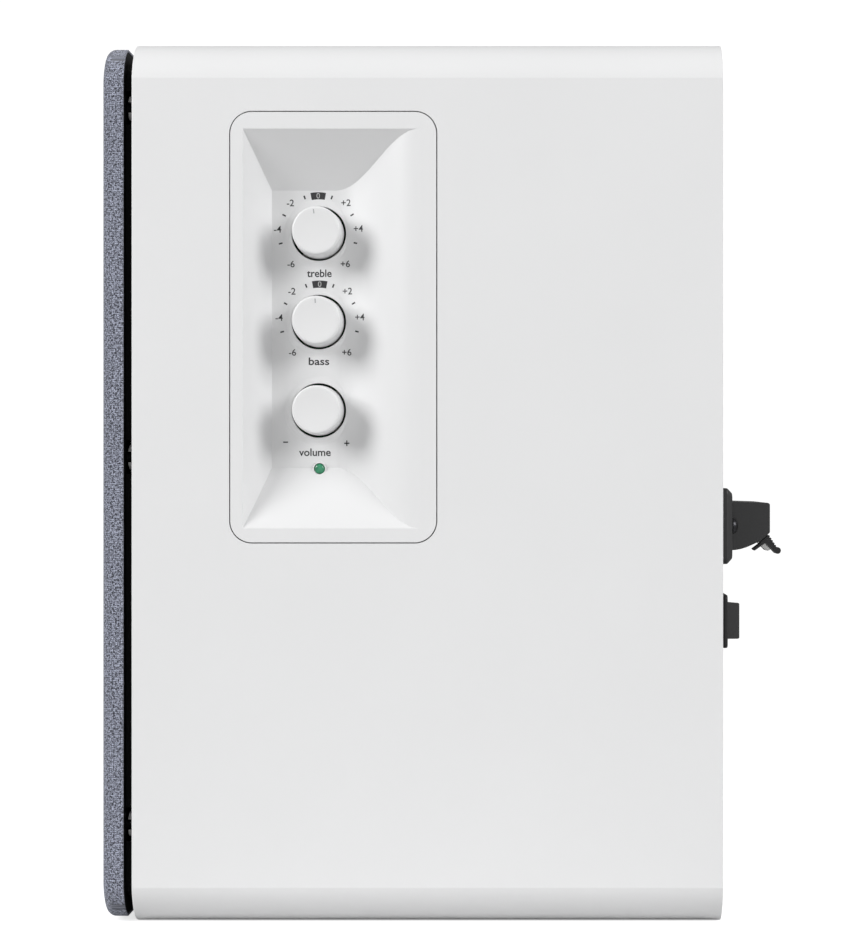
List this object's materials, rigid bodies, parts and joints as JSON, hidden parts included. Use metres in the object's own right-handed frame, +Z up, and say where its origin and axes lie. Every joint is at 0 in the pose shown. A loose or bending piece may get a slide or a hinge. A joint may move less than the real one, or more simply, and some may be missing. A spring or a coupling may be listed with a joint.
{
  "type": "bookshelf speaker",
  "caption": "Active two-way bookshelf speaker in satin white with a blue-grey cloth grille, a recessed side panel of knobs and a green lamp, and rear speaker terminals.",
  "frame": {"origin": "on the ground, under the middle of the speaker's box: its width, and its depth from the grille's cloth to the terminal levers' tips", "axes": "+Z up; the grille faces -Y; the control panel is on the +X side; the terminals are at the back, +Y"},
  "size_m": [0.146, 0.185, 0.234],
  "materials": {
    "white_vinyl": "board wrapped in satin white vinyl film",
    "baffle_board": "board wrapped in matt black film",
    "rear_board": "board wrapped in matt black film",
    "wadding": "loose polyester fleece",
    "black_plastic": "moulded, fine texture",
    "grille_cloth": "blue-grey speckled open-weave cloth",
    "basket_steel": "pressed steel, black paint",
    "zinc_steel": "zinc-plated",
    "ferrite": "bare ferrite, dull",
    "cone_paper": "pressed paper, matt black",
    "copper": "enamelled copper wire on a former",
    "rubber": "matt",
    "spider_cloth": "resin-stiffened cloth",
    "dome_silk": "coated silk, slight sheen",
    "white_plastic": "satin",
    "circuit_board": "solder mask, satin",
    "led_lens": "translucent green, polished",
    "plate_black": "black powder coat",
    "aluminium": "extruded, plain",
    "transformer_iron": "varnished laminations",
    "capacitor_sleeve": "shrink sleeve",
    "socket_plastic": "moulded",
    "pale_plastic": "light grey, moulded",
    "rocker_plastic": "moulded, fine texture",
    "cup_plastic": "off-white, moulded",
    "screw_steel": "black zinc",
    "shaft_steel": "turned",
    "knob_plastic": "satin white"
  },
  "bodies": {
    "cabinet": {"cabinet_shell": "white_vinyl", "front_baffle": "baffle_board", "rear_panel": "rear_board", "damping_wadding": "wadding", "port_tube": "black_plastic", "woofer_basket": "basket_steel", "woofer_top_plate": "zinc_steel", "woofer_yoke": "zinc_steel", "woofer_magnet": "ferrite", "woofer_surround": "rubber", "woofer_spider": "spider_cloth", "tweeter_faceplate": "black_plastic", "tweeter_magnet": "ferrite", "control_panel": "white_plastic", "control_board": "circuit_board", "power_led": "led_lens", "amp_plate": "plate_black", "amp_board": "circuit_board", "heatsink": "aluminium", "transformer": "transformer_iron", "filter_capacitor": "capacitor_sleeve", "line_in_sockets": "socket_plastic", "mains_inlet": "black_plastic", "terminal_housing": "black_plastic", "switch_body": "black_plastic", "grille_cup_1": "cup_plastic", "grille_cup_2": "cup_plastic", "grille_cup_3": "cup_plastic", "grille_cup_4": "cup_plastic", "grille_cup_5": "cup_plastic", "grille_cup_6": "cup_plastic", "woofer_screw_1": "screw_steel", "woofer_screw_2": "screw_steel", "woofer_screw_3": "screw_steel", "woofer_screw_4": "screw_steel", "tweeter_screw_1": "screw_steel", "tweeter_screw_2": "screw_steel", "tweeter_screw_3": "screw_steel", "terminal_screw_1": "screw_steel", "terminal_screw_2": "screw_steel", "treble_potentiometer": "zinc_steel", "bass_potentiometer": "zinc_steel", "volume_encoder": "zinc_steel"},
    "grille": {"grille_frame": "black_plastic", "grille_cloth": "grille_cloth"},
    "treble_control": {"treble_knob": "knob_plastic", "treble_shaft": "shaft_steel"},
    "bass_control": {"bass_knob": "knob_plastic", "bass_shaft": "shaft_steel"},
    "volume_control": {"volume_knob": "knob_plastic", "volume_shaft": "shaft_steel"},
    "woofer_diaphragm": {"woofer_cone": "cone_paper", "woofer_dust_cap": "cone_paper", "woofer_voice_coil": "copper"},
    "tweeter_diaphragm": {"tweeter_dome": "dome_silk"},
    "positive_lever": {"terminal_lever_positive": "pale_plastic"},
    "negative_lever": {"terminal_lever_negative": "black_plastic"},
    "power_rocker": {"switch_rocker": "rocker_plastic"}
  },
  "joints": [
    {"name": "grille_pull", "type": "slide", "parent": "cabinet", "child": "grille", "axis": [0, -1, 0], "range_m": [0, 0.02]},
    {"name": "treble_turn", "type": "hinge", "parent": "cabinet", "child": "treble_control", "pos_m": [0.073, -0.0359, 0.1838], "axis": [1, 0, 0], "range_deg": [-140, 140]},
    {"name": "bass_turn", "type": "hinge", "parent": "cabinet", "child": "bass_control", "pos_m": [0.073, -0.0359, 0.1601], "axis": [1, 0, 0], "range_deg": [-140, 140]},
    {"name": "volume_turn", "type": "hinge", "parent": "cabinet", "child": "volume_control", "pos_m": [0.073, -0.0359, 0.1364], "axis": [1, 0, 0], "continuous": true},
    {"name": "woofer_travel", "type": "slide", "parent": "cabinet", "child": "woofer_diaphragm", "axis": [0, -1, 0], "range_m": [-0.003, 0.003], "stiffness_N_per_m": 900, "deforming": ["woofer_surround", "woofer_spider"]},
    {"name": "tweeter_travel", "type": "slide", "parent": "cabinet", "child": "tweeter_diaphragm", "axis": [0, -1, 0], "range_m": [-0.0003, 0.0003], "stiffness_N_per_m": 900},
    {"name": "positive_lever_press", "type": "hinge", "parent": "cabinet", "child": "positive_lever", "pos_m": [-0.0175, 0.08661, 0.1006], "axis": [-1, 0, 0], "range_deg": [0, 14], "stiffness_Nm_per_rad": 0.08},
    {"name": "negative_lever_press", "type": "hinge", "parent": "cabinet", "child": "negative_lever", "pos_m": [0.0135, 0.08661, 0.1006], "axis": [-1, 0, 0], "range_deg": [0, 14], "stiffness_Nm_per_rad": 0.08},
    {"name": "power_rock", "type": "hinge", "parent": "cabinet", "child": "power_rocker", "pos_m": [0.0325, 0.07021, 0.0787], "axis": [0, 0, 1], "range_deg": [-18, 0]}
  ]
}
